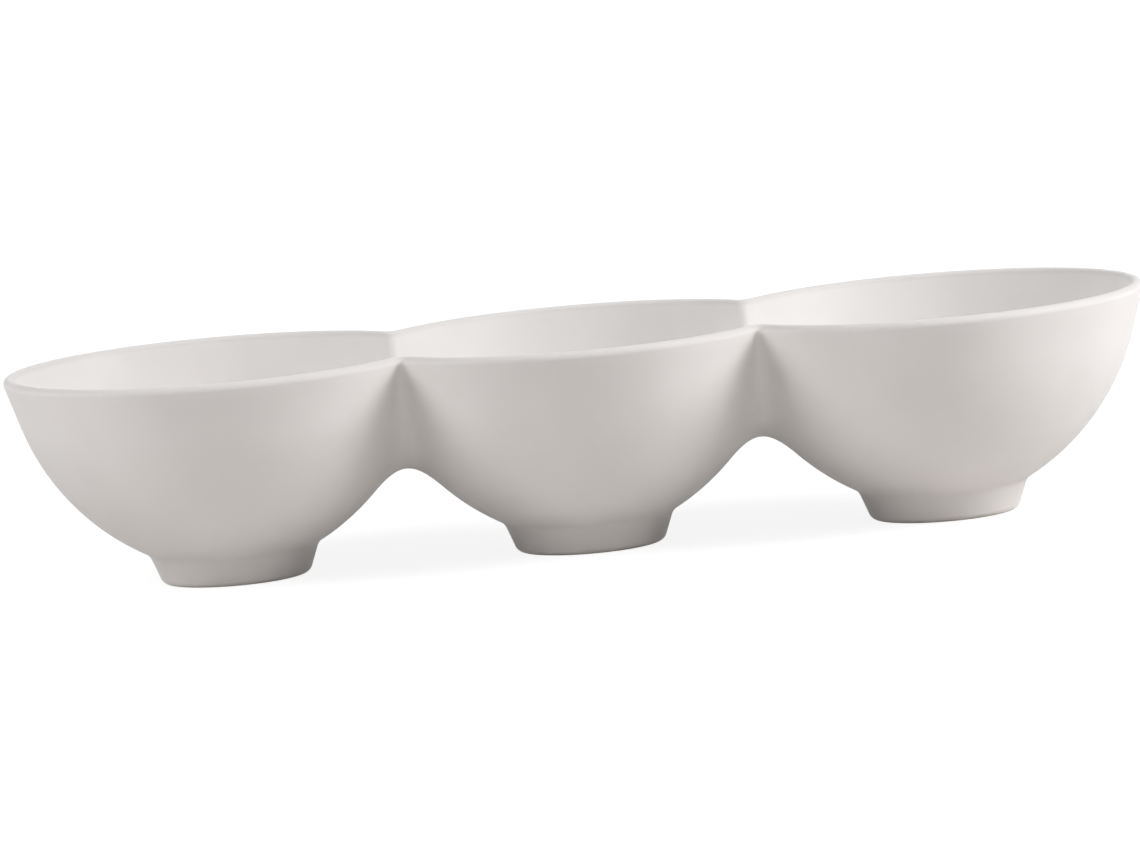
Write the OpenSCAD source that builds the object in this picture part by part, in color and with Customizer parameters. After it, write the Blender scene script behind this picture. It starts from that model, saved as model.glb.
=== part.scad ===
// Chip and dip server: a row of three round bowls that run into each other,
// each on its own flared foot ring. Fired stoneware with a satin glaze.
// Millimetres. The origin is on the table under the middle bowl.
// +X runs along the row to the right, +Y to the back, +Z up.

/* [Bowls] */
// Outside diameter across the rim of one bowl
rim_d = 148.5; // [144:0.5:154]
// Height of the rim above the table
rim_h = 75.7; // [71:0.1:80]
// How far two neighbouring bowls overlap across their rims
overlap = 25.8; // [21:0.1:31]
// Length of the straight flare under the rim, along its slope
flare_l = 15.5; // [11:0.5:20]
// Radius of the belly, from the flare down to the foot
belly_r = 82; // [77:0.5:94]
// Thickness of the wall and of the round lip
wall = 4.2; // [3.6:0.1:4.8]
// Thickness of the base in the middle of a bowl
base_t = 5; // [4:0.5:6.5]

/* [Feet] */
// Outside diameter that a foot would have at the table with a sharp edge
foot_d = 50.8; // [47:0.1:56]
// Height of the corner where the side of a foot would meet the belly
foot_h = 10.4; // [9:0.1:12]
// Lean of the outside of a foot, from the upright, in degrees
foot_lean = 20.5; // [17:0.5:25]
// Radius of the rounded outside edge that a foot stands on
foot_edge_r = 3.2; // [2.4:0.1:4]
// Radius of the hollow curve where a foot runs into its bowl
neck_r = 4.8; // [3:0.1:6.5]
// Width of the flat ring that a foot stands on, between its two rounded edges
stand_w = 2.3; // [1.6:0.1:3.2]
// Depth of the recess inside a foot ring
recess_h = 5.5; // [4.5:0.5:7]
// Lean of the side of the recess, from the upright, in degrees
recess_lean = 8; // [4:0.5:12]
// Radius of the rounded inside edge of a foot ring
recess_edge_r = 1.4; // [0.8:0.1:1.8]

/* [Saddles] */
// Radius of the hollow crease outside, where it starts at the rim
crease_top_r = 2; // [1.2:0.1:4]
// Radius of the hollow crease lower down, where it turns under the saddle
crease_low_r = 8.5; // [6.5:0.5:10.5]
// Radius of the crest inside, between two bowls
crest_r = 1.6; // [1:0.1:2.4]

/* [Hidden] */
$fn = 160;

glaze = [0.90, 0.89, 0.87];
bare_edge = [0.86, 0.84, 0.81];
// Radial clearance between the spigot under a bowl and its foot ring
spigot_gap = 0.1;
// Room above a cut, so that no two faces lie on each other
clear = 10;
// How far one curve is sunk into the next, so that the two cross cleanly
bite = 0.0005;
// Halvings of a range that find where a function passes zero
halvings = 26;

// Distance between the middles of two neighbouring bowls
pitch = rim_d - overlap;

// Where a rising function passes zero
function root(f, low, high, n = halvings) =
    let (mid = (low + high) / 2)
    n == 0 ? mid : f(mid) > 0 ? root(f, low, mid, n - 1) : root(f, mid, high, n - 1);

// Unit vectors along and across a slope that leans by so many degrees from the upright
function along(lean) = [sin(lean), cos(lean)];
function across(lean) = [cos(lean), -sin(lean)];

// Unit vectors along and across the side of the foot
foot_up = along(foot_lean);
foot_out = across(foot_lean);
foot_base = [foot_d / 2, 0];
foot_corner = [foot_d / 2 + foot_h * tan(foot_lean), foot_h];

// Middle of the round lip
lip_c = [rim_d / 2 - wall / 2, rim_h - wall / 2];
// Where a leaning flare ends, and the middle of a belly that runs on from it with no corner
function flare_end(lean) = lip_c + across(lean) * wall / 2 - along(lean) * flare_l;
function belly_mid(lean) = flare_end(lean) - across(lean) * belly_r;
// The flare has the lean that brings the belly to the corner of the foot
flare_lean = root(function(lean) norm(foot_corner - belly_mid(lean)) - belly_r, 0, 60);
flare_up = along(flare_lean);
flare_out = across(flare_lean);
belly_end = flare_end(flare_lean);
belly_c = belly_mid(flare_lean);
// The two points where the lip meets the wall
lip_out = lip_c + flare_out * wall / 2;
lip_in = lip_c - flare_out * wall / 2;
hollow_end = belly_end - flare_out * wall;
hollow_r = belly_r - wall;
// The floor is a round cap that runs into the hollow with no corner
floor_h = recess_h + base_t;
floor_drop = belly_c[1] - floor_h;
floor_r = (pow(hollow_r, 2) - pow(belly_c[0], 2) - pow(floor_drop, 2))
          / (2 * (hollow_r - floor_drop));
floor_c = [0, floor_h + floor_r];
floor_way = (floor_c - belly_c) / norm(floor_c - belly_c);
floor_end = belly_c + floor_way * hollow_r;

// Middle of the neck's hollow curve: it touches both the foot and the belly
neck_line = foot_base + foot_out * neck_r - belly_c;
neck_dot = neck_line * foot_up;
neck_l = -neck_dot - sqrt(pow(neck_dot, 2) - neck_line * neck_line
                          + pow(belly_r + neck_r, 2));
neck_c = belly_c + neck_line + foot_up * neck_l;
neck_foot = neck_c - foot_out * neck_r;
neck_way = (neck_c - belly_c) / norm(neck_c - belly_c);
neck_top = belly_c + neck_way * belly_r;
// Middle of the rounded outside edge, and where it meets the foot's side
edge_c = [foot_base[0] - foot_edge_r * (1 - sin(foot_lean)) / cos(foot_lean), foot_edge_r];
edge_top = edge_c + foot_out * foot_edge_r;
// The rounded inside edge, and the side of the recess that rises from it
inner_c = [edge_c[0] - stand_w, recess_edge_r];
recess_out = [-cos(recess_lean), -sin(recess_lean)];
inner_top = inner_c + recess_out * recess_edge_r;
recess_top_r = inner_top[0] - (recess_h - inner_top[1]) * tan(recess_lean);
spigot_r = recess_top_r - spigot_gap;

// Two surfaces are blended over this reach, for each millimetre of radius
reach_per_r = 1.57;
crest_reach = crest_r * reach_per_r;
// Steps of a saddle across the joint, round its crook and round its lip
across_n = 16;
round_n = 40;
lip_n = 12;

// Distance from the outer face of a bowl, at a radius and a height; negative in it
function outer_gap(r, z) =
    let (p = [r, z] - belly_end)
    p * flare_up > 0 ? p * flare_out : norm([r, z] - belly_c) - belly_r;

// Distance from the inner face of a bowl, negative in the hollow
function inner_gap(r, z) =
    let (p = [r, z] - belly_c)
    cross(floor_way, p) < 0 ? norm([r, z] - floor_c) - floor_r : outer_gap(r, z) + wall;

// One distance from two shapes that are rounded into each other
function blended(a, b, reach) = reach - norm([max(reach - a, 0), max(reach - b, 0)]);

// Height of the belly's outer face at a distance from the joint, in the row's middle plane
function belly_h(x) = belly_c[1] - sqrt(pow(belly_r, 2) - pow(pitch / 2 - belly_c[0] - x, 2));

// The crease widens steadily on its way down
function crease_reach(z) =
    reach_per_r * (crease_low_r + (crease_top_r - crease_low_r)
                                  * (z - belly_h(0)) / (rim_h - belly_h(0)));

// The same two distances for a pair of bowls, measured from the joint between them
function pair_outer(x, y, z) =
    blended(outer_gap(norm([x + pitch / 2, y]), z),
            outer_gap(norm([x - pitch / 2, y]), z), crease_reach(z));
function pair_inner(x, y, z) =
    blended(inner_gap(norm([x + pitch / 2, y]), z),
            inner_gap(norm([x - pitch / 2, y]), z), crest_reach);

// A point of the round lip in the profile: 0 is its outer face and 180 its inner face
function lip_edge(turn) = lip_c + wall / 2 * [cos(turn - flare_lean), sin(turn - flare_lean)];

// Half the width of a saddle: past it, each bowl is out of the other's reach
saddle_half = bite + root(function(x) outer_gap(pitch / 2 + x, belly_h(x))
                                      - crease_reach(belly_h(x)), 0, pitch / 4);

// A point of the crook, seen from the middle of the opening at a height
function outer_point(x, turn, z) =
    let (t = root(function(t) pair_outer(x, t * cos(turn), z + t * sin(turn)), 0, rim_d))
    [x, t * cos(turn), z + t * sin(turn)];
function inner_point(x, turn, z) =
    let (t = root(function(t) pair_inner(x, t * cos(turn), z + t * sin(turn)), 0, rim_d))
    [x, t * cos(turn), z + t * sin(turn)];

// The same point of the lip where it runs through a saddle
function lip_point(x, turn, side) =
    let (z = lip_edge(turn)[1],
         y = root(function(y) pair_outer(x, y, z) * (1 + cos(turn))
                              + pair_inner(x, y, z) * (1 - cos(turn)), 0, rim_d))
    [x, side * y, z];

// The closed outline of a saddle at one place across the joint
function saddle_outline(x) = concat(
    [for (i = [0 : round_n]) outer_point(x, -180 * i / round_n, lip_out[1])],
    [for (i = [1 : lip_n - 1]) lip_point(x, 180 * i / lip_n, -1)],
    [for (i = [0 : round_n]) inner_point(x, -180 + 180 * i / round_n, lip_in[1])],
    [for (i = [1 : lip_n - 1]) lip_point(x, 180 - 180 * i / lip_n, 1)]);

module outer_outline() {
    intersection() {
        translate(belly_c) circle(r = belly_r);
        translate([0, neck_top[1]])
            square([rim_d, belly_end[1] + flare_l / 2 - neck_top[1]]);
    }
    polygon(concat([[0, belly_end[1]], belly_end - flare_out * bite],
                   [for (i = [0 : lip_n]) lip_edge(180 * i / lip_n)],
                   [[0, lip_in[1]]]));
    translate([0, recess_h]) square([spigot_r, neck_top[1] + base_t - recess_h]);
}

module hollow_outline() {
    top = hollow_end[1] + flare_l / 2;
    intersection() {
        translate(floor_c) circle(r = floor_r + bite);
        translate(belly_c) circle(r = hollow_r);
        square([rim_d, top]);
    }
    intersection() {
        translate(belly_c) circle(r = hollow_r);
        translate([0, floor_end[1]]) square([rim_d, top - floor_end[1]]);
    }
    polygon([[0, hollow_end[1]], hollow_end - flare_out * bite,
             lip_in + flare_out * bite + flare_up * clear, [0, rim_h + clear]]);
}

module bowl_outline() {
    difference() {
        outer_outline();
        hollow_outline();
    }
}

// A bowl, cut where it meets a saddle on its left or on its right
module bowl(cut_left, cut_right) {
    cut_x = pitch / 2 - saddle_half;
    low_x = cut_left ? -cut_x : -rim_d;
    high_x = cut_right ? cut_x : rim_d;
    intersection() {
        rotate_extrude() bowl_outline();
        translate([low_x, -rim_d, -clear]) cube([high_x - low_x, 2 * rim_d, rim_h + 2 * clear]);
    }
}

// The flat end of a saddle: strips across the wall, and the two ends of its lip
function saddle_end(first) =
    let (n = 2 * (round_n + lip_n), last = n - lip_n)
    concat([for (j = [0 : round_n - 1]) [for (k = [j, j + 1, last - j - 1, last - j]) first + k]],
           [[for (i = [0 : lip_n]) first + round_n + i]],
           [[for (i = [0 : lip_n]) first + (last + i) % n]]);

module saddle() {
    slices = [for (i = [0 : across_n])
        let (u = 2 * i / across_n - 1)
        saddle_outline(saddle_half * sign(u) * pow(abs(u), 1.5))];
    n = len(slices[0]);
    skin = [for (i = [0 : across_n - 1]) for (j = [0 : n - 1])
        let (a = i * n + j, b = i * n + (j + 1) % n)
        each [[a, a + n, b], [b, a + n, b + n]]];
    far_end = [for (face = saddle_end(across_n * n)) [for (i = [len(face) - 1 : -1 : 0]) face[i]]];
    polyhedron([for (slice = slices) each slice], concat(skin, saddle_end(0), far_end));
}

module foot_ring_outline() {
    difference() {
        polygon([[inner_c[0], 0], [edge_c[0], 0], edge_c, edge_top - foot_out * bite,
                 neck_foot + foot_out * bite, neck_c, neck_top + [neck_r * bite, 0],
                 [recess_top_r, neck_top[1]], [recess_top_r, recess_h],
                 inner_top - recess_out * bite, inner_c]);
        translate(neck_c) circle(r = neck_r);
    }
    translate(edge_c) circle(r = foot_edge_r);
    translate(inner_c) circle(r = recess_edge_r);
}

module foot_ring() {
    rotate_extrude() foot_ring_outline();
}

module left_bowl() { color(glaze) translate([-pitch, 0, 0]) bowl(false, true); }
module middle_bowl() { color(glaze) bowl(true, true); }
module right_bowl() { color(glaze) translate([pitch, 0, 0]) bowl(true, false); }
module left_saddle() { color(glaze) translate([-pitch / 2, 0, 0]) saddle(); }
module right_saddle() { color(glaze) translate([pitch / 2, 0, 0]) saddle(); }
module left_foot_ring() { color(bare_edge) translate([-pitch, 0, 0]) foot_ring(); }
module middle_foot_ring() { color(bare_edge) foot_ring(); }
module right_foot_ring() { color(bare_edge) translate([pitch, 0, 0]) foot_ring(); }

left_bowl();
middle_bowl();
right_bowl();
left_saddle();
right_saddle();
left_foot_ring();
middle_foot_ring();
right_foot_ring();
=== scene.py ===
"""Models and finishes a server of three round bowls that run into each other.

Everything is in metres, in the frame's own axes: +X along the row of bowls,
+Y to the back and +Z up, with the table at zero.
"""

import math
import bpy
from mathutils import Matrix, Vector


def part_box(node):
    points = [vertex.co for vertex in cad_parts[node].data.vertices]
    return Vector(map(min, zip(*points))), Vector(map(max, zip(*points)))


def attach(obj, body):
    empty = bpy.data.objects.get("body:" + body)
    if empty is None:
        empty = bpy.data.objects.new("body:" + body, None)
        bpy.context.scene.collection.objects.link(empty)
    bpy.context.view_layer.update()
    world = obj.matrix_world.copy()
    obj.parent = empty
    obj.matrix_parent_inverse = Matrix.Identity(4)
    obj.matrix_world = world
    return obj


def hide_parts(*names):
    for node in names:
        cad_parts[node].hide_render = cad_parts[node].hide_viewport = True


bl_info = {
    "name": "Three Bowl Server",
    "version": (1, 0, 0),
    "blender": (4, 5, 0),
    "location": "View3D > Sidebar > Server",
    "description": "Makes a glazed server of three bowls in a row, and a stage to show it on",
    "category": "Add Mesh",
}

import bmesh
import bpy
from bmesh.types import BMEdge, BMVert
from bpy.props import (
    FloatProperty,
    FloatVectorProperty,
    IntProperty,
    PointerProperty,
)
from mathutils import Matrix, Vector

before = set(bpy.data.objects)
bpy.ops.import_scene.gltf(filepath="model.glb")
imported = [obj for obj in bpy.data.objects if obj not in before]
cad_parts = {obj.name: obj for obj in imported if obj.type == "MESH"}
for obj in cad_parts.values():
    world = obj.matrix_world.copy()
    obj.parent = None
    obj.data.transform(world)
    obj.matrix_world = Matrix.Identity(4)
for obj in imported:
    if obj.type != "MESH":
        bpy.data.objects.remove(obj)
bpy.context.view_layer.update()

BODY = "root"
# The bowls of the row and the saddles between them, each with its place in pitches
BOWLS = {"left": -1, "middle": 0, "right": 1}
SADDLES = {"left": -0.5, "right": 0.5}


# Sizes that the frame gives


def node_middle(node):
    """The middle of a node's box."""
    low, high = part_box(node)
    return (low + high) / 2


PITCH = (node_middle("right_foot_ring") - node_middle("left_foot_ring")).x / 2
RIM_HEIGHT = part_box("middle_bowl")[1].z
RIM_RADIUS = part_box("right_bowl")[1].x - PITCH
SADDLE_LOW, SADDLE_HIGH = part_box("right_saddle")


# What a user can change


class BowlSizes(bpy.types.PropertyGroup):
    """Sizes of one bowl."""

    rim_d: FloatProperty(
        name="Rim Diameter", description="Outside diameter across the rim",
        default=2 * RIM_RADIUS, unit="LENGTH")
    rim_h: FloatProperty(
        name="Rim Height", description="Height of the rim above the table",
        default=RIM_HEIGHT, unit="LENGTH")
    pitch: FloatProperty(
        name="Pitch", description="Distance between the middles of two neighbouring bowls",
        default=PITCH, unit="LENGTH")
    flare_l: FloatProperty(
        name="Flare Length", description="Length of the straight flare under the rim",
        default=0.0155, unit="LENGTH")
    belly_r: FloatProperty(
        name="Belly Radius", description="Radius of the belly, from the flare down to the foot",
        default=0.082, unit="LENGTH")
    wall: FloatProperty(
        name="Wall", description="Thickness of the wall and of the round lip",
        default=0.0042, unit="LENGTH")
    base_t: FloatProperty(
        name="Base", description="Thickness of the base in the middle of a bowl",
        default=0.005, unit="LENGTH")
    turns: IntProperty(
        name="Turn Steps", description="Steps of a full turn, a number that four divides",
        default=240, min=48)


class FootSizes(bpy.types.PropertyGroup):
    """Sizes of one foot ring."""

    foot_d: FloatProperty(
        name="Foot Diameter", description="Outside diameter at the table, with a sharp edge",
        default=0.0508, unit="LENGTH")
    foot_h: FloatProperty(
        name="Foot Height", description="Height where the side of the foot would meet the belly",
        default=0.0104, unit="LENGTH")
    lean: FloatProperty(
        name="Foot Lean", description="Lean of the outside of the foot, from the upright",
        default=math.radians(20.5), unit="ROTATION")
    edge_r: FloatProperty(
        name="Outer Edge Radius", description="Radius of the outside edge that the foot stands on",
        default=0.0032, unit="LENGTH")
    neck_r: FloatProperty(
        name="Neck Radius", description="Radius of the hollow curve between foot and bowl",
        default=0.0048, unit="LENGTH")
    stand_w: FloatProperty(
        name="Standing Width", description="Width of the flat ring that the foot stands on",
        default=0.0023, unit="LENGTH")
    recess_h: FloatProperty(
        name="Recess Depth", description="Depth of the recess inside the ring",
        default=0.0055, unit="LENGTH")
    recess_lean: FloatProperty(
        name="Recess Lean", description="Lean of the side of the recess, from the upright",
        default=math.radians(8), unit="ROTATION")
    inner_r: FloatProperty(
        name="Inner Edge Radius", description="Radius of the inside edge of the ring",
        default=0.0014, unit="LENGTH")


class SaddleSizes(bpy.types.PropertyGroup):
    """Sizes of the saddle between two bowls."""

    width: FloatProperty(
        name="Saddle Width", description="Width of a saddle along the row",
        default=SADDLE_HIGH.x - SADDLE_LOW.x, unit="LENGTH")
    crease_top_r: FloatProperty(
        name="Crease Radius at the Rim", description="Radius of the crease where it starts",
        default=0.002, unit="LENGTH")
    crease_low_r: FloatProperty(
        name="Crease Radius Below", description="Radius of the crease where it turns under",
        default=0.0075, unit="LENGTH")
    crest_r: FloatProperty(
        name="Crest Radius", description="Radius of the crest inside, between two bowls",
        default=0.0034, unit="LENGTH")
    rows: IntProperty(
        name="Rows", description="Rows of faces from the joint to each side",
        default=20, min=4)


class GlazeLook(bpy.types.PropertyGroup):
    """Colours and finish of the fired clay."""

    glaze_colour: FloatVectorProperty(
        name="Glaze", description="Colour of the glaze where it lies thick",
        default=(0.73, 0.70, 0.68), size=3, min=0, max=1, subtype="COLOR")
    thin_colour: FloatVectorProperty(
        name="Thin Glaze", description="Colour of the glaze where it lies thin",
        default=(0.70, 0.67, 0.65), size=3, min=0, max=1, subtype="COLOR")
    # The lip's darker colour: partly thin glaze there, partly painted shade that dims the lip's
    # lit top
    lip_glaze_and_shade_colour: FloatVectorProperty(
        name="Lip", description="Colour of the glaze where it runs off the lip and is thinnest",
        default=(0.655, 0.628, 0.609), size=3, min=0, max=1, subtype="COLOR")
    clay_colour: FloatVectorProperty(
        name="Bare Clay", description="Colour of the dry clay under the feet",
        default=(0.62, 0.55, 0.46), size=3, min=0, max=1, subtype="COLOR")
    gloss: FloatProperty(
        name="Roughness", description="Middle roughness of the satin glaze",
        default=0.58, min=0, max=1, subtype="FACTOR")
    shine: FloatProperty(
        name="Shine", description="Strength of the glaze's own reflection; 0.5 is that of glass",
        default=0.4, min=0, max=1, subtype="FACTOR")


class StudioLook(bpy.types.PropertyGroup):
    """Camera, lamps and floor."""

    yaw: FloatProperty(
        name="Yaw", description="How far the camera stands to the left of straight in front",
        default=math.radians(2.25), unit="ROTATION")
    elevation: FloatProperty(
        name="Elevation", description="How far the camera looks down",
        default=math.radians(6.75), unit="ROTATION")
    roll: FloatProperty(
        name="Roll", description="How far the camera is tilted about its own axis",
        default=math.radians(4.89), unit="ROTATION")
    distance: FloatProperty(
        name="Distance", description="From the camera to the middle of the server",
        default=5.0, unit="LENGTH")
    view_width: FloatProperty(
        name="View Width", description="Width of the view at the middle of the server",
        default=0.3928, unit="LENGTH")
    aim: FloatVectorProperty(
        name="Aim", description="Aim right of and above the middle of the server",
        default=(-0.0042, 0.0031), size=2, unit="LENGTH")
    key_power: FloatProperty(
        name="Key Power", description="Power of the lamp on the right",
        default=38.0, unit="POWER")
    low_power: FloatProperty(
        name="Low Power", description="Power of the lamp low on the right",
        default=3.5, unit="POWER")
    fill_power: FloatProperty(
        name="Fill Power", description="Power of the lamp on the left",
        default=19.0, unit="POWER")
    top_power: FloatProperty(
        name="Top Power", description="Power of the lamp high on the left",
        default=8.0, unit="POWER")
    back_power: FloatProperty(
        name="Back Power", description="Power of the lamp straight behind",
        default=3.5, unit="POWER")
    room: FloatProperty(
        name="Room Light", description="Strength of the light that the room sends back",
        default=0.1, min=0)
    daylight: FloatVectorProperty(
        name="Daylight", description="Colour of all lamps and of the room",
        default=(0.9725, 0.985, 1.0), size=3, min=0, max=1, subtype="COLOR")
    lamp_size: FloatProperty(
        name="Lamp Size", description="Length of the sides of each square lamp",
        default=1.0, unit="LENGTH")
    lamp_distance: FloatProperty(
        name="Lamp Distance", description="From each lamp to the middle of the server",
        default=2.0, unit="LENGTH")


# The profile of a bowl and its foot, as (radius, height)


def along(lean):
    """Unit vector up a slope that leans by an angle from the upright."""
    return Vector((math.sin(lean), math.cos(lean)))


def across(lean):
    """Unit vector out of that slope."""
    return Vector((math.cos(lean), -math.sin(lean)))


def root(rising, low, high, halvings=32):
    """Where a rising function passes zero."""
    for _ in range(halvings):
        middle = (low + high) / 2
        if rising(middle) > 0:
            high = middle
        else:
            low = middle
    return (low + high) / 2


def blended(a, b, reach):
    """One distance from two shapes that are rounded into each other."""
    return reach - math.hypot(max(reach - a, 0), max(reach - b, 0))


class Outline:
    """Points and centres of the profile, worked out from the sizes."""

    # The flare leans less than this from the upright
    MOST_LEAN = math.radians(60)
    # Reach of a blend for each unit of its radius, at the angle at which two bowls meet
    REACH_PER_RADIUS = 1.57
    # How much later than evenly a crease widens on its way down; 1 is evenly
    WIDENING = 1.6

    def __init__(self, bowl, foot, saddle):
        self.bowl, self.foot, self.saddle = bowl, foot, saddle
        self.set_foot(foot)
        self.set_walls(bowl)
        self.set_floor(bowl, foot)
        self.set_neck(bowl, foot)

    def set_foot(self, foot):
        """The side and the rounded edges of the foot, and its recess."""
        self.foot_up, self.foot_out = along(foot.lean), across(foot.lean)
        self.foot_base = Vector((foot.foot_d / 2, 0))
        self.foot_corner = self.foot_base + self.foot_up * foot.foot_h / self.foot_up.y
        inset = foot.edge_r * (1 - math.sin(foot.lean)) / math.cos(foot.lean)
        self.edge_c = Vector((foot.foot_d / 2 - inset, foot.edge_r))
        self.inner_c = Vector((self.edge_c.x - foot.stand_w, foot.inner_r))
        self.inner_top = self.inner_c - across(-foot.recess_lean) * foot.inner_r
        rise = foot.recess_h - self.inner_top.y
        self.recess_top_r = self.inner_top.x - rise * math.tan(foot.recess_lean)

    def set_walls(self, bowl):
        """The lip, the flare and the belly."""
        half = bowl.wall / 2
        self.lip_c = Vector((bowl.rim_d / 2 - half, bowl.rim_h - half))

        def flare_end(lean):
            return self.lip_c + across(lean) * half - along(lean) * bowl.flare_l

        def belly_mid(lean):
            return flare_end(lean) - across(lean) * bowl.belly_r

        self.lean = root(
            lambda lean: (self.foot_corner - belly_mid(lean)).length - bowl.belly_r,
            0, self.MOST_LEAN)
        self.up, self.out = along(self.lean), across(self.lean)
        self.belly_end, self.belly_c = flare_end(self.lean), belly_mid(self.lean)
        self.lip_out = self.lip_c + self.out * half
        self.lip_in = self.lip_c - self.out * half
        self.hollow_end = self.belly_end - self.out * bowl.wall
        self.hollow_r = bowl.belly_r - bowl.wall

    def set_floor(self, bowl, foot):
        """The floor's round cap, which runs into the hollow with no corner."""
        self.floor_h = foot.recess_h + bowl.base_t
        drop = self.belly_c.y - self.floor_h
        self.floor_r = ((self.hollow_r ** 2 - self.belly_c.x ** 2 - drop ** 2)
                        / (2 * (self.hollow_r - drop)))
        self.floor_c = Vector((0, self.floor_h + self.floor_r))
        self.floor_way = (self.floor_c - self.belly_c).normalized()
        self.floor_end = self.belly_c + self.floor_way * self.hollow_r

    def set_neck(self, bowl, foot):
        """The hollow curve that touches both the foot and the belly."""
        line = self.foot_base + self.foot_out * foot.neck_r - self.belly_c
        dot = line.dot(self.foot_up)
        reach = bowl.belly_r + foot.neck_r
        length = -dot - math.sqrt(dot ** 2 - line.length_squared + reach ** 2)
        self.neck_c = self.belly_c + line + self.foot_up * length
        self.neck_foot = self.neck_c - self.foot_out * foot.neck_r
        self.neck_top = (self.belly_c
                         + (self.neck_c - self.belly_c).normalized() * bowl.belly_r)

    def outer_gap(self, r, z):
        """Distance from the outer face of a bowl, negative in it."""
        x, y = r - self.belly_end.x, z - self.belly_end.y
        if x * self.up.x + y * self.up.y > 0:
            return x * self.out.x + y * self.out.y
        return math.hypot(r - self.belly_c.x, z - self.belly_c.y) - self.bowl.belly_r

    def inner_gap(self, r, z):
        """Distance from the inner face of a bowl, negative in the hollow."""
        x, y = r - self.belly_c.x, z - self.belly_c.y
        if self.floor_way.x * y - self.floor_way.y * x < 0:
            return math.hypot(r, z - self.floor_c.y) - self.floor_r
        return self.outer_gap(r, z) + self.bowl.wall

    def belly_h(self, x):
        """Height of the belly's outer face at a distance from the joint, in the middle plane."""
        aside = self.bowl.pitch / 2 - self.belly_c.x - x
        return self.belly_c.y - math.sqrt(self.bowl.belly_r ** 2 - aside ** 2)

    def crease_reach(self, z):
        """How far the crease's blend reaches at a height: it widens on its way down."""
        low, top = self.saddle.crease_low_r, self.saddle.crease_top_r
        down = max(0, (self.bowl.rim_h - z) / (self.bowl.rim_h - self.belly_h(0)))
        return self.REACH_PER_RADIUS * (top + (low - top) * down ** self.WIDENING)

    def pair(self, gap, x, y, z, reach):
        """One distance from both bowls beside a joint, from which x is measured."""
        half = self.bowl.pitch / 2
        return blended(gap(math.hypot(x + half, y), z), gap(math.hypot(x - half, y), z), reach)

    def pair_outer(self, x, y, z):
        """Distance from the outer face of a pair of bowls, rounded along the crease."""
        return self.pair(self.outer_gap, x, y, z, self.crease_reach(z))

    def pair_inner(self, x, y, z):
        """Distance from the inner face of a pair of bowls, rounded along the crest."""
        return self.pair(self.inner_gap, x, y, z, self.REACH_PER_RADIUS * self.saddle.crest_r)

    def seat(self, x, y, z, turn):
        """Moves a point near a joint onto the pair of bowls, within its plane across the row.

        x is measured from the joint. turn says what the point belongs to: 0 is the outer
        face, pi the inner face, and between them lies the round of the lip.
        """
        if turn < LIP_EDGE:
            level, gap = self.lip_out.y, self.pair_outer
        elif turn > math.pi - LIP_EDGE:
            level, gap = self.lip_in.y, self.pair_inner
        else:
            z = level = self.lip_c.y + self.bowl.wall / 2 * math.sin(turn - self.lean)

            # Round the lip, the outer face hands over to the inner one
            def gap(*at):
                return (self.pair_outer(*at) * (1 + math.cos(turn))
                        + self.pair_inner(*at) * (1 - math.cos(turn)))

        length = math.hypot(y, z - level)
        cos, sin = y / length, (z - level) / length
        far = root(lambda t: gap(x, t * cos, level + t * sin), 0, self.bowl.rim_d)
        return Vector((x, far * cos, level + far * sin))


# Modelling


# A turn this close to either end of the lip, in radians, belongs to the wall beside it
LIP_EDGE = 0.001
# A point this close to a face, as a share of the wall, lies on it
ON_FACE = 0.001
# Points this close together are one, and points this close to a cut lie on it
SAME_POINT = 1e-6
ON_CUT = 1e-8
# A last narrow row at a seam, so that the shading meets its neighbour's exactly
SEAM_ROW = 0.00005
# A point this close to a seam lies on it
ON_SEAM = SEAM_ROW / 10
# Steps of the arcs of a bowl's profile, and of the straight flanks under its lip
BELLY_STEPS = 60
FLANK_STEPS = 4
LIP_STEPS = 24
HOLLOW_STEPS = 40
FLOOR_STEPS = 24
# Steps of the arcs of a foot ring's profile
EDGE_STEPS = 14
NECK_STEPS = 12
INNER_EDGE_STEPS = 10
# How much closer together the rows of a saddle lie near its joint; 1 is evenly
ROW_CROWDING = 1.5
# Angle between faces from which an edge is kept sharp
SHARP = math.radians(35)


def picked(made, kind):
    """Those of the things an operator made that are of one kind."""
    return [thing for thing in made if isinstance(thing, kind)]


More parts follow.
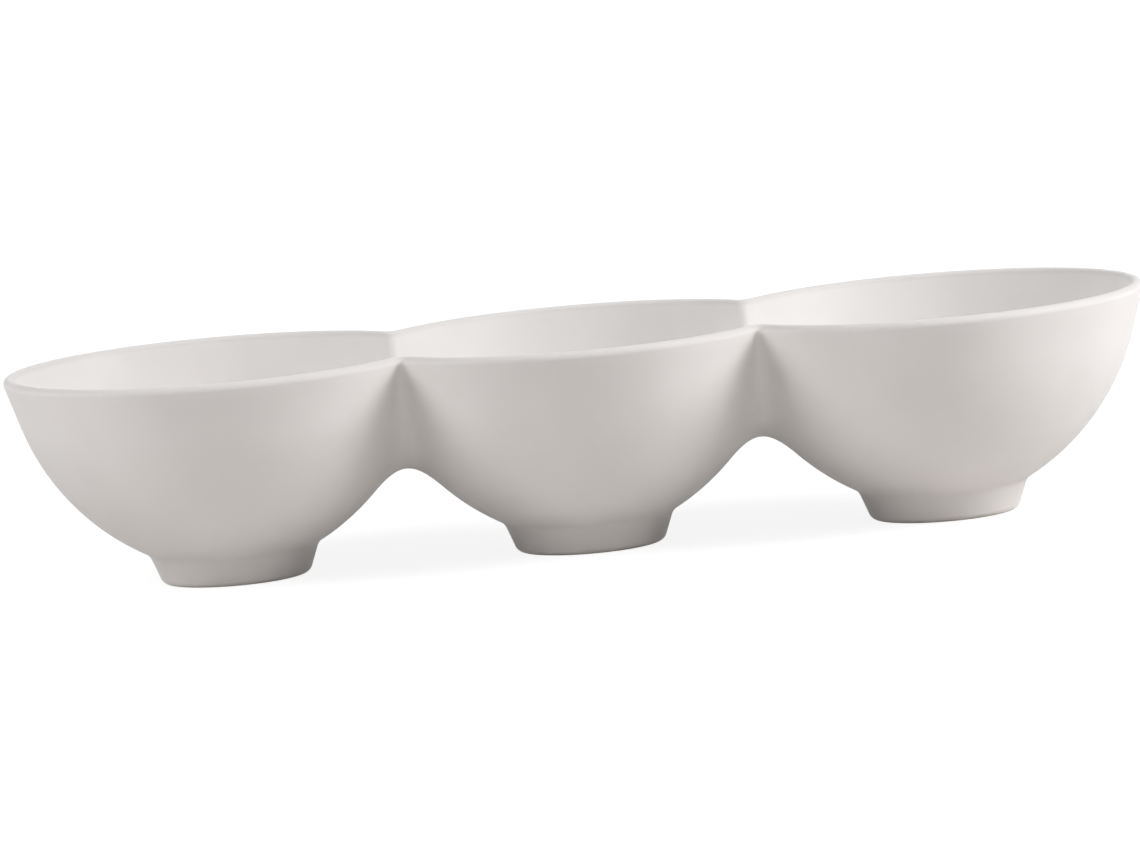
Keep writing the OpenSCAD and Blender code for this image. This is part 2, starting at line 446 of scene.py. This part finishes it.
class Chain:
    """A profile that is drawn point by point and then spun into a body."""

    def __init__(self, r, z):
        self.bm = bmesh.new()
        self.turn = self.bm.verts.layers.float.new("turn")
        self.last = self.bm.verts.new((r, 0, z))

    def line(self, point):
        """Runs straight to a point."""
        self.last = bmesh.ops.extrude_vert_indiv(self.bm, verts=[self.last])["verts"][0]
        self.last.co = (point[0], 0, point[1])

    def flank(self, start, end):
        """Runs straight from one point to another in a few steps."""
        for step in range(FLANK_STEPS):
            self.line(start.lerp(end, (step + 1) / FLANK_STEPS))

    def arc(self, centre, point, steps, seam=None, angle=None):
        """Runs round a centre to a point. An angle is given where both ways are as long.

        A seam at the start or the end gets its narrow row.
        """
        spoke = Vector((self.last.co.x, self.last.co.z)) - centre
        if angle is None:
            angle = spoke.angle_signed(Vector(point) - centre)
        narrow = math.copysign(SEAM_ROW / spoke.length, angle)
        runs = [(angle, steps)]
        if seam == "start":
            runs = [(narrow, 1), (angle - narrow, steps)]
        elif seam == "end":
            runs = [(angle - narrow, steps), (narrow, 1)]
        for turn, count in runs:
            made = bmesh.ops.spin(
                self.bm, geom=[self.last], cent=(centre[0], 0, centre[1]),
                axis=(0, 1, 0), angle=turn, steps=count)
            self.last = picked(made["geom_last"], BMVert)[0]

    def mark_lip(self, outline):
        """Writes down how far round the lip each point lies."""
        near = ON_FACE * outline.bowl.wall
        for vert in self.bm.verts:
            spoke = Vector((vert.co.x, vert.co.z)) - outline.lip_c
            if abs(spoke.length - outline.bowl.wall / 2) < near:
                vert[self.turn] = outline.out.angle(spoke)
            elif outline.inner_gap(vert.co.x, vert.co.z) < near:
                vert[self.turn] = math.pi

    def spin(self, steps):
        """Turns the profile round the upright axis."""
        bmesh.ops.spin(
            self.bm, geom=self.bm.verts[:] + self.bm.edges[:], cent=(0, 0, 0),
            axis=(0, 0, 1), angle=2 * math.pi, steps=steps, use_merge=True)
        bmesh.ops.remove_doubles(self.bm, verts=self.bm.verts, dist=SAME_POINT)
        return self.bm


def spun_bowl(outline):
    """One whole bowl, before it is cut for its neighbours."""
    bowl, foot = outline.bowl, outline.foot
    chain = Chain(0, foot.recess_h)
    chain.line((outline.recess_top_r, foot.recess_h))
    chain.line((outline.recess_top_r, outline.neck_top.y))
    chain.line(outline.neck_top)
    chain.arc(outline.belly_c, outline.belly_end, BELLY_STEPS, seam="start")
    chain.flank(outline.belly_end, outline.lip_out)
    chain.arc(outline.lip_c, outline.lip_in, LIP_STEPS, angle=-math.pi)
    chain.flank(outline.lip_in, outline.hollow_end)
    chain.arc(outline.belly_c, outline.floor_end, HOLLOW_STEPS)
    chain.arc(outline.floor_c, (0, outline.floor_h), FLOOR_STEPS)
    chain.mark_lip(outline)
    return chain.spin(bowl.turns)


def all_of(bm):
    """Every vertex, edge and face of a mesh."""
    return bm.verts[:] + bm.edges[:] + bm.faces[:]


def seat_plane(bm, outline, side, x):
    """Seats the points in a plane across the row exactly on the bowl's surface."""
    turn = bm.verts.layers.float["turn"]
    half = outline.bowl.pitch / 2
    for vert in bm.verts:
        if abs(vert.co.x - side * x) < ON_SEAM:
            seated = outline.seat(x - half, vert.co.y, vert.co.z, vert[turn])
            vert.co = (side * x, seated.y, seated.z)


def cut_for_saddle(bm, outline, side):
    """Cuts a bowl at the seam with its saddle on one side, and closes the cut."""
    seam = (outline.bowl.pitch - outline.saddle.width) / 2
    bmesh.ops.bisect_plane(
        bm, geom=all_of(bm), dist=ON_CUT,
        plane_co=(side * (seam - SEAM_ROW), 0, 0), plane_no=(side, 0, 0))
    cut = bmesh.ops.bisect_plane(
        bm, geom=all_of(bm), dist=ON_CUT,
        plane_co=(side * seam, 0, 0), plane_no=(side, 0, 0), clear_outer=True)
    for x in (seam - SEAM_ROW, seam):
        seat_plane(bm, outline, side, x)
    bmesh.ops.holes_fill(bm, edges=picked(cut["geom_cut"], BMEdge), sides=0)


def saddle_body(outline):
    """The saddle at a joint: the bowl's cut face, drawn across along the blended surface."""
    bm = spun_bowl(outline)
    turn = bm.verts.layers.float["turn"]
    half, reach = outline.bowl.pitch / 2, outline.saddle.width / 2
    bmesh.ops.bisect_plane(
        bm, geom=all_of(bm), dist=ON_CUT, plane_co=(half - reach, 0, 0),
        plane_no=(1, 0, 0), clear_outer=True, clear_inner=True)
    rows = outline.saddle.rows
    places = [reach * math.copysign(abs(row / rows) ** ROW_CROWDING, row)
              for row in range(-rows, rows + 1)]
    places[1:1] = [places[0] + SEAM_ROW]
    places[-1:-1] = [places[-1] - SEAM_ROW]
    ring, points = bm.edges[:], set(bm.verts)
    for x in places:
        if x != places[0]:
            made = bmesh.ops.extrude_edge_only(bm, edges=ring)["geom"]
            points = set(picked(made, BMVert))
            ring = [edge for edge in picked(made, BMEdge) if points.issuperset(edge.verts)]
        for point in points:
            point.co = outline.seat(x, point.co.y, point.co.z, point[turn])
    bmesh.ops.holes_fill(bm, edges=[edge for edge in bm.edges if edge.is_boundary], sides=0)
    return bm


def spun_foot(outline):
    """One foot ring, rounded where it stands and hollowed where it meets its bowl."""
    foot = outline.foot
    chain = Chain(outline.inner_c.x, 0)
    chain.line((outline.edge_c.x, 0))
    chain.arc(outline.edge_c, outline.edge_c + outline.foot_out * foot.edge_r, EDGE_STEPS)
    chain.line(outline.neck_foot)
    chain.arc(outline.neck_c, outline.neck_top, NECK_STEPS, seam="end")
    chain.line((outline.recess_top_r, outline.neck_top.y))
    chain.line((outline.recess_top_r, foot.recess_h))
    chain.line(outline.inner_top)
    chain.arc(outline.inner_c, (outline.inner_c.x, 0), INNER_EDGE_STEPS)
    return chain.spin(outline.bowl.turns)


def outline_of(scene):
    """The outline that the scene's sizes give."""
    return Outline(scene.server_bowl, scene.server_foot, scene.server_saddle)


def finish_piece(bm, name, place, material):
    """Turns a finished bmesh into a piece that stands for its node of the frame."""
    bmesh.ops.translate(bm, verts=bm.verts, vec=place)
    bmesh.ops.recalc_face_normals(bm, faces=bm.faces)
    for face in bm.faces:
        face.smooth = True
    for edge in bm.edges:
        edge.smooth = edge.calc_face_angle(0) < SHARP
    if any(not edge.is_manifold for edge in bm.edges):
        raise RuntimeError(f"{name} isn't closed")
    mesh = bpy.data.meshes.new(name + "_glazed")
    bm.to_mesh(mesh)
    bm.free()
    mesh.materials.append(material)
    piece = bpy.data.objects.new(name + "_glazed", mesh)
    bpy.context.scene.collection.objects.link(piece)
    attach(piece, BODY)
    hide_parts(name)


# Materials


# How large the patches, waves and grains of the glaze are
CLOUD_SIZE = 0.045
SHEEN_SIZE = 0.012
LIP_WAVE_SIZE = 0.01
SLOW_WAVE_SIZE = 0.03
SKIN_GRAIN_SIZE = 0.0016
# Which values of the noise fade into each other, in the clouds and in the sheen
CLOUD_RANGE = (0.35, 0.65)
SHEEN_RANGE = (0.3, 0.7)
# How far the roughness swings below and above its middle
SHEEN_BELOW, SHEEN_ABOVE = 0.04, 0.05
# The lip's darker band, of thin glaze and painted shade, lies between these depths under the rim,
# along a line that wavers this much
LIP_GLAZE_AND_SHADE_BAND = (0.0022, 0.0002)
LIP_WAVER = 0.0006
# Pinholes: how far apart and how large they are, and how much clay they show
PINHOLE_GAP = 0.014
PINHOLE_R = 0.0005
PINHOLE_TINT = 0.12
# A spot's soft edge, from its full part outwards, in radii
SPOT_EDGE = (0.5, 1.2)
# Bumps, each as its depth and its strength
SLOW_WAVE_BUMP = (0.0006, 0.12)
SKIN_BUMP = (0.00004, 0.25)
PINHOLE_BUMP = (0.00005, 0.5)
CLAY_BUMP = (0.0002, 0.5)
# The glaze of a foot ends between these heights, along a wavering line
GLAZE_END = (0.00075, 0.00095)
GLAZE_WAVE_SIZE = 0.006
GLAZE_WAVER = 0.0005
# The bare clay: its grains, the tone of the dark ones, and how much rougher than glaze it is
CLAY_GRAIN_SIZE = 0.0007
CLAY_RANGE = (0.35, 0.7)
CLAY_SHADE = 0.82
CLAY_ROUGHER = 0.42


class Tree:
    """A short way to write the nodes of a material or a world."""

    def __init__(self, owner):
        owner.use_nodes = True
        self.tree = owner.node_tree
        self.tree.nodes.clear()

    def add(self, kind, **settings):
        """A new node with its settings and unlinked inputs."""
        node = self.tree.nodes.new(kind)
        for key, value in settings.items():
            if key in node.inputs:
                node.inputs[key].default_value = value
            else:
                setattr(node, key, value)
        return node

    def link(self, source, target):
        """Joins an output to an input."""
        self.tree.links.new(source, target)

    def ranged(self, source, low, high, to_low, to_high, kind="SMOOTHSTEP"):
        """Maps one range of values to another."""
        node = self.add("ShaderNodeMapRange", interpolation_type=kind)
        for key, value in zip(("From Min", "From Max", "To Min", "To Max"),
                              (low, high, to_low, to_high)):
            node.inputs[key].default_value = value
        self.link(source, node.inputs["Value"])
        return node.outputs["Result"]

    def maths(self, operation, first, second, clamp=False):
        """Arithmetic on two outputs or numbers."""
        node = self.add("ShaderNodeMath", operation=operation, use_clamp=clamp)
        for slot, value in zip(node.inputs, (first, second)):
            if isinstance(value, (int, float)):
                slot.default_value = value
            else:
                self.link(value, slot)
        return node.outputs["Value"]

    def by_sight(self, unseen, seen):
        """Two shaders in one: the second is what the eye sees, also in gloss or through glass."""
        path = self.add("ShaderNodeLightPath").outputs
        sight = path["Is Camera Ray"]
        for name in ("Is Glossy Ray", "Is Transmission Ray"):
            sight = self.maths("ADD", sight, path[name], clamp=True)
        mix = self.add("ShaderNodeMixShader")
        for source, target in zip((sight, unseen.outputs[0], seen.outputs[0]), mix.inputs):
            self.link(source, target)
        return mix.outputs[0]


class Finish(Tree):
    """A finish of the fired clay, with its principled shader and its output."""

    # A Mix node's colours are found by their places, because other sockets share their names
    COLOUR_INPUTS = (6, 7)
    COLOUR_OUTPUT = 2

    def __init__(self, name):
        self.material = bpy.data.materials.new(name)
        super().__init__(self.material)
        self.shader = self.add("ShaderNodeBsdfPrincipled")
        output = self.add("ShaderNodeOutputMaterial")
        self.link(self.shader.outputs["BSDF"], output.inputs["Surface"])
        self.place = self.add("ShaderNodeTexCoord").outputs["Object"]

    def noise(self, size, detail=2.0, roughness=0.5):
        """Noise whose grain is about as large as size."""
        node = self.add("ShaderNodeTexNoise", Scale=1 / size, Detail=detail,
                        Roughness=roughness)
        self.link(self.place, node.inputs["Vector"])
        return node.outputs["Fac"]

    def height(self, wave_size, waver):
        """Height above the table, which wavers, so that what ends at it ends unevenly."""
        parts = self.add("ShaderNodeSeparateXYZ")
        self.link(self.place, parts.inputs["Vector"])
        return self.maths("ADD", parts.outputs["Z"],
                          self.maths("MULTIPLY", self.noise(wave_size), waver))

    def dots(self, apart, radius):
        """1 in round spots that lie scattered, 0 between them."""
        node = self.add("ShaderNodeTexVoronoi", Scale=1 / apart)
        self.link(self.place, node.inputs["Vector"])
        start, end = (share * radius / apart for share in SPOT_EDGE)
        return self.ranged(node.outputs["Distance"], start, end, 1, 0)

    def mixed(self, amount, first, second):
        """A colour between two colours or outputs."""
        node = self.add("ShaderNodeMix", data_type="RGBA")
        self.link(amount, node.inputs["Factor"])
        for place, value in zip(self.COLOUR_INPUTS, (first, second)):
            if isinstance(value, bpy.types.NodeSocket):
                self.link(value, node.inputs[place])
            else:
                node.inputs[place].default_value = (*value, 1)
        return node.outputs[self.COLOUR_OUTPUT]

    def bumped(self, height, distance, strength, below=None):
        """A bump, on top of another one where that is given."""
        node = self.add("ShaderNodeBump", Distance=distance, Strength=strength)
        self.link(height, node.inputs["Height"])
        if below is not None:
            self.link(below, node.inputs["Normal"])
        return node.outputs["Normal"]

    def finished(self, colour, roughness, skin):
        """Joins the shader's inputs, and gives the material."""
        self.link(colour, self.shader.inputs["Base Color"])
        self.link(roughness, self.shader.inputs["Roughness"])
        self.link(skin, self.shader.inputs["Normal"])
        return self.material


def glaze_layers(nodes, look, rim_h):
    """The satin glaze: its cloudy tone, its lip of thin glaze and painted shade, its uneven sheen
    and a few pinholes.
    """
    cloud = nodes.ranged(nodes.noise(CLOUD_SIZE, detail=3), *CLOUD_RANGE, 0, 1)
    colour = nodes.mixed(cloud, look.glaze_colour, look.thin_colour)
    # The lip band: thin glaze, and painted shade that darkens the top of the lip
    start, end = (rim_h - depth for depth in LIP_GLAZE_AND_SHADE_BAND)
    lip = nodes.ranged(nodes.height(LIP_WAVE_SIZE, LIP_WAVER), start, end, 0, 1)
    colour = nodes.mixed(lip, colour, look.lip_glaze_and_shade_colour)
    pinholes = nodes.dots(PINHOLE_GAP, PINHOLE_R)
    colour = nodes.mixed(nodes.maths("MULTIPLY", pinholes, PINHOLE_TINT), colour, look.clay_colour)
    sheen = nodes.ranged(nodes.noise(SHEEN_SIZE, detail=4), *SHEEN_RANGE,
                         look.gloss - SHEEN_BELOW, look.gloss + SHEEN_ABOVE)
    slow = nodes.bumped(nodes.noise(SLOW_WAVE_SIZE, detail=1), *SLOW_WAVE_BUMP)
    skin = nodes.bumped(nodes.noise(SKIN_GRAIN_SIZE), *SKIN_BUMP, slow)
    skin = nodes.bumped(nodes.maths("SUBTRACT", 1, pinholes), *PINHOLE_BUMP, skin)
    nodes.shader.inputs["Specular IOR Level"].default_value = look.shine
    return colour, sheen, skin


def satin_glaze(look, rim_h):
    """Glaze all over. It is made once, for bowls and saddles alike."""
    made = bpy.data.materials.get("satin_glaze")
    if made:
        return made
    nodes = Finish("satin_glaze")
    return nodes.finished(*glaze_layers(nodes, look, rim_h))


def glazed_foot(look, rim_h):
    """Glaze down to a wavering line, and dry grainy clay where the foot stands."""
    nodes = Finish("glazed_foot")
    colour, sheen, skin = glaze_layers(nodes, look, rim_h)
    glazed = nodes.ranged(nodes.height(GLAZE_WAVE_SIZE, GLAZE_WAVER), *GLAZE_END, 0, 1)
    grain = nodes.noise(CLAY_GRAIN_SIZE, detail=3, roughness=0.7)
    clay = nodes.mixed(nodes.ranged(grain, *CLAY_RANGE, 0, 1), look.clay_colour,
                       tuple(part * CLAY_SHADE for part in look.clay_colour))
    rough = nodes.maths("ADD", sheen, nodes.ranged(glazed, 0, 1, CLAY_ROUGHER, 0))
    dry = nodes.maths("MULTIPLY", nodes.ranged(glazed, 0, 1, 1, 0), grain)
    return nodes.finished(nodes.mixed(glazed, clay, colour), rough,
                          nodes.bumped(dry, *CLAY_BUMP, skin))


# Operators


class SERVER_OT_bowls(bpy.types.Operator):
    """Makes the three bowls, each cut where a saddle joins it"""

    bl_idname = "server.bowls"
    bl_label = "Make Bowls"

    def execute(self, context):
        outline = outline_of(context.scene)
        material = satin_glaze(context.scene.server_glaze, outline.bowl.rim_h)
        whole = spun_bowl(outline)
        for name, place in BOWLS.items():
            bowl = whole.copy()
            for side in (-1, 1):
                if place + side in BOWLS.values():
                    cut_for_saddle(bowl, outline, side)
            finish_piece(bowl, name + "_bowl", (place * outline.bowl.pitch, 0, 0),
                         material)
        whole.free()
        return {"FINISHED"}


class SERVER_OT_saddles(bpy.types.Operator):
    """Makes the two saddles that the bowls run together over"""

    bl_idname = "server.saddles"
    bl_label = "Make Saddles"

    def execute(self, context):
        outline = outline_of(context.scene)
        material = satin_glaze(context.scene.server_glaze, outline.bowl.rim_h)
        saddle = saddle_body(outline)
        for name, place in SADDLES.items():
            finish_piece(saddle.copy(), name + "_saddle", (place * outline.bowl.pitch, 0, 0),
                         material)
        saddle.free()
        return {"FINISHED"}


class SERVER_OT_foot_rings(bpy.types.Operator):
    """Makes the three foot rings"""

    bl_idname = "server.foot_rings"
    bl_label = "Make Foot Rings"

    def execute(self, context):
        outline = outline_of(context.scene)
        material = glazed_foot(context.scene.server_glaze, outline.bowl.rim_h)
        ring = spun_foot(outline)
        for name, place in BOWLS.items():
            finish_piece(ring.copy(), name + "_foot_ring", (place * outline.bowl.pitch, 0, 0),
                         material)
        ring.free()
        return {"FINISHED"}


# The stage


# Width of the camera's sensor, in millimetres
SENSOR_WIDTH = 36
# Each lamp's name, turn to the right of straight in front, and height, in degrees
LAMPS = (("key", 75, 33), ("low", 65, 18), ("fill", -65, 33), ("top", -80, 50),
         ("back", 180, 35))
# The floor: how far it runs to each side, how far it lies under the feet, and its colour
FLOOR_REACH = 12
FLOOR_GAP = 0.0001
FLOOR_COLOUR = (0.788, 0.762, 0.74, 1)
# The part of the floor that takes the shadow
SHADOW_COLOUR = (0.2, 0.2, 0.2, 1)
# Its glow grows between these two distances from the server, from one strength to the other
GLOW_RANGE = (0.2, 1.4)
GLOW_STRENGTH = (0.87, 1)
WHITE = (1, 1, 1, 1)


def direction(turn, height):
    """Unit vector for a turn to the right of straight in front, and a height, as angles."""
    return Vector((math.sin(turn) * math.cos(height), -math.cos(turn) * math.cos(height),
                   math.sin(height)))


def camera_axes(studio):
    """Right, up and back of the camera."""
    right = Vector((math.cos(studio.yaw), -math.sin(studio.yaw), 0))
    back = direction(-studio.yaw, studio.elevation)
    up = back.cross(right)
    cos, sin = math.cos(studio.roll), math.sin(studio.roll)
    return right * cos - up * sin, right * sin + up * cos, back


def set_camera(studio, middle):
    """Places the camera and makes it the scene's own."""
    right, up, back = camera_axes(studio)
    aim = middle + right * studio.aim[0] + up * studio.aim[1]
    data = bpy.data.cameras.new("camera")
    data.sensor_width = SENSOR_WIDTH
    data.lens = data.sensor_width * studio.distance / studio.view_width
    camera = bpy.data.objects.new("camera", data)
    camera.matrix_world = (Matrix.Translation(aim + back * studio.distance)
                           @ Matrix((right, up, back)).transposed().to_4x4())
    bpy.context.scene.collection.objects.link(camera)
    bpy.context.scene.camera = camera


def set_lamps(studio, middle):
    """Soft square lamps round the server, which all face it."""
    for name, turn, height in LAMPS:
        way = direction(math.radians(turn), math.radians(height))
        data = bpy.data.lights.new(name, "AREA")
        data.shape, data.size, data.color = "SQUARE", studio.lamp_size, studio.daylight
        data.energy = getattr(studio, name + "_power")
        lamp = bpy.data.objects.new(name, data)
        lamp.matrix_world = (Matrix.Translation(middle + way * studio.lamp_distance)
                             @ way.to_track_quat("Z", "Y").to_matrix().to_4x4())
        bpy.context.scene.collection.objects.link(lamp)


def set_world(studio):
    """A white backdrop that lights the server only softly."""
    world = bpy.data.worlds.new("room")
    nodes = Tree(world)
    dim = nodes.add("ShaderNodeBackground", Color=(*studio.daylight, 1), Strength=studio.room)
    white = nodes.add("ShaderNodeBackground", Color=WHITE, Strength=1)
    output = nodes.add("ShaderNodeOutputWorld")
    nodes.link(nodes.by_sight(dim, white), output.inputs["Surface"])
    bpy.context.scene.world = world


def floor_material():
    """A pale floor that looks white further off and keeps the shadow of the server."""
    material = bpy.data.materials.new("pale_floor")
    nodes = Tree(material)
    pale = nodes.add("ShaderNodeBsdfDiffuse", Color=FLOOR_COLOUR)
    # What is seen: a part that takes the shadow, and a glow that grows away from the server
    matt = nodes.add("ShaderNodeBsdfDiffuse", Color=SHADOW_COLOUR)
    glow = nodes.add("ShaderNodeEmission", Color=WHITE)
    far = nodes.add("ShaderNodeVectorMath", operation="LENGTH")
    nodes.link(nodes.add("ShaderNodeTexCoord").outputs["Object"], far.inputs[0])
    nodes.link(nodes.ranged(far.outputs["Value"], *GLOW_RANGE, *GLOW_STRENGTH, kind="LINEAR"),
               glow.inputs["Strength"])
    both = nodes.add("ShaderNodeAddShader")
    nodes.link(matt.outputs[0], both.inputs[0])
    nodes.link(glow.outputs[0], both.inputs[1])
    output = nodes.add("ShaderNodeOutputMaterial")
    nodes.link(nodes.by_sight(pale, both), output.inputs["Surface"])
    return material


def make_floor():
    """A wide floor, a hair's breadth under the feet."""
    bm = bmesh.new()
    bmesh.ops.create_grid(bm, x_segments=1, y_segments=1, size=FLOOR_REACH,
                          matrix=Matrix.Translation((0, 0, -FLOOR_GAP)))
    mesh = bpy.data.meshes.new("floor")
    bm.to_mesh(mesh)
    bm.free()
    mesh.materials.append(floor_material())
    floor = bpy.data.objects.new("floor", mesh)
    bpy.context.scene.collection.objects.link(floor)


class SERVER_OT_stage(bpy.types.Operator):
    """Sets the camera, the lamps, the room and the floor"""

    bl_idname = "server.stage"
    bl_label = "Set Stage"

    def execute(self, context):
        studio = context.scene.server_studio
        middle = Vector((0, 0, context.scene.server_bowl.rim_h / 2))
        set_camera(studio, middle)
        set_lamps(studio, middle)
        set_world(studio)
        make_floor()
        context.scene.view_settings.view_transform = "Standard"
        return {"FINISHED"}


# The panel, and what Blender is given


class SERVER_PT_sidebar(bpy.types.Panel):
    """The server's sizes, finish and steps"""

    bl_idname = "SERVER_PT_sidebar"
    bl_label = "Server"
    bl_space_type = "VIEW_3D"
    bl_region_type = "UI"
    bl_category = "Server"

    def draw(self, context):
        for title, group, steps in PANEL_ROWS:
            box = self.layout.box()
            box.label(text=title)
            settings = getattr(context.scene, group)
            for key in settings.bl_rna.properties.keys():
                if key not in ("rna_type", "name"):
                    box.prop(settings, key)
            for step in steps:
                box.operator(step.bl_idname)


GROUPS = {
    "server_bowl": BowlSizes,
    "server_foot": FootSizes,
    "server_saddle": SaddleSizes,
    "server_glaze": GlazeLook,
    "server_studio": StudioLook,
}
PANEL_ROWS = (
    ("Bowls", "server_bowl", (SERVER_OT_bowls,)),
    ("Saddles", "server_saddle", (SERVER_OT_saddles,)),
    ("Feet", "server_foot", (SERVER_OT_foot_rings,)),
    ("Glaze", "server_glaze", ()),
    ("Studio", "server_studio", (SERVER_OT_stage,)),
)
CLASSES = (*GROUPS.values(), SERVER_OT_bowls, SERVER_OT_saddles, SERVER_OT_foot_rings,
           SERVER_OT_stage, SERVER_PT_sidebar)


def register():
    """Gives Blender the server's settings, operators and panel."""
    for cls in CLASSES:
        bpy.utils.register_class(cls)
    for name, group in GROUPS.items():
        setattr(bpy.types.Scene, name, PointerProperty(type=group))


def unregister():
    """Takes them away again."""
    for name in GROUPS:
        delattr(bpy.types.Scene, name)
    for cls in reversed(CLASSES):
        bpy.utils.unregister_class(cls)


def main():
    """Makes the server and its stage."""
    register()
    bpy.ops.server.bowls()
    bpy.ops.server.saddles()
    bpy.ops.server.foot_rings()
    bpy.ops.server.stage()


if __name__ == "__main__":
    main()
